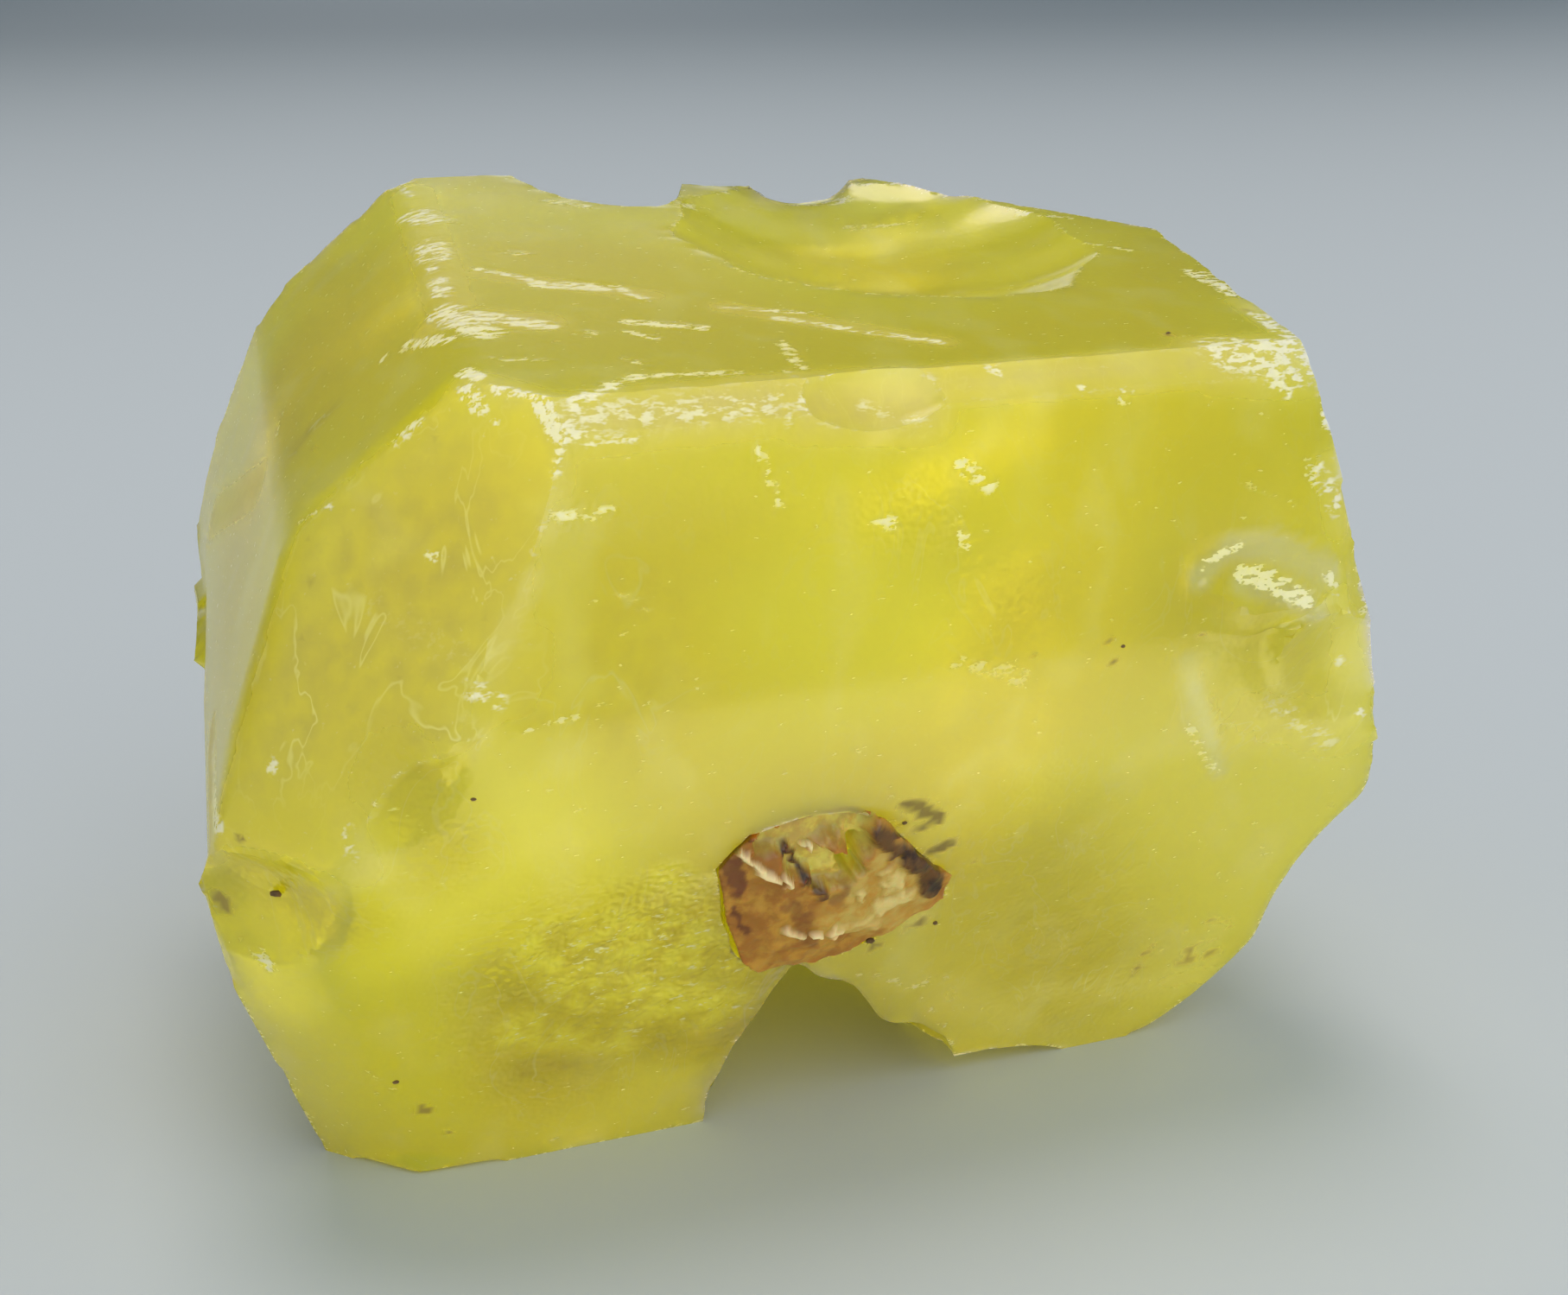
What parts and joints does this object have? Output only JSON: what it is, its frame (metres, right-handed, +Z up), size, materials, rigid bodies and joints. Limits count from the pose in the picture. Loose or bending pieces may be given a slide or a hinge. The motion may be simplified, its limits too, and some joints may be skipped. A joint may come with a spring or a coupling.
{
  "type": "sulfur crystal",
  "caption": "Translucent yellow sulfur crystal with bevelled natural faces, broken back and notched base, a scrap of brown matrix lodged in its front.",
  "frame": {"origin": "middle of the bounding box in plan, at the lowest point, where the crystal rests", "axes": "+X along the longest extent, -Y out of the large front face, +Z up"},
  "size_m": [0.0335, 0.0268, 0.0242],
  "materials": {
    "sulfur": "translucent greasy yellow, frosted where worn",
    "matrix_rock": "rough brown stone"
  },
  "bodies": {
    "root": {"sulfur_crystal": "sulfur", "matrix_fragment": "matrix_rock"}
  },
  "joints": []
}
